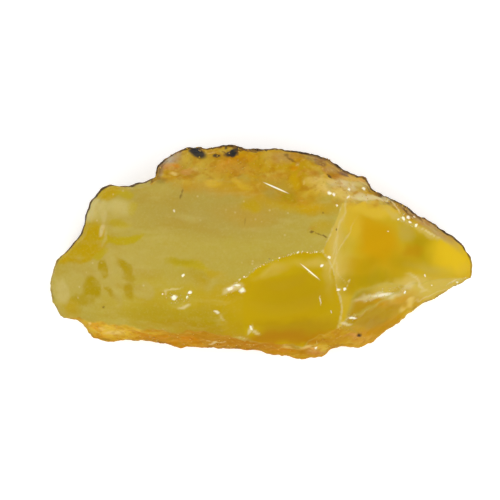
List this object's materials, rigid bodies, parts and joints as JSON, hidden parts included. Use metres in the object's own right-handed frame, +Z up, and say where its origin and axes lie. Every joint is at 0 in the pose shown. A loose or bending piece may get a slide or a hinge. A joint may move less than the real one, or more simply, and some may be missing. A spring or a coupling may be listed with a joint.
{
  "type": "rough honey opal",
  "caption": "Rough piece of translucent honey-yellow opal with glassy conchoidal faces, an ochre skin of host rock and dark mineral stains; lies on a flat side.",
  "frame": {"origin": "under the middle of the stone, on the surface that it rests on", "axes": "+X from the blunt end to the pointed end, +Y towards the back with the thick strip of skin, +Z up"},
  "size_m": [0.0506, 0.0257, 0.015],
  "materials": {
    "opal": "glassy on the broken faces and dull on the skin"
  },
  "bodies": {
    "root": {"honey_opal": "opal"}
  },
  "joints": []
}
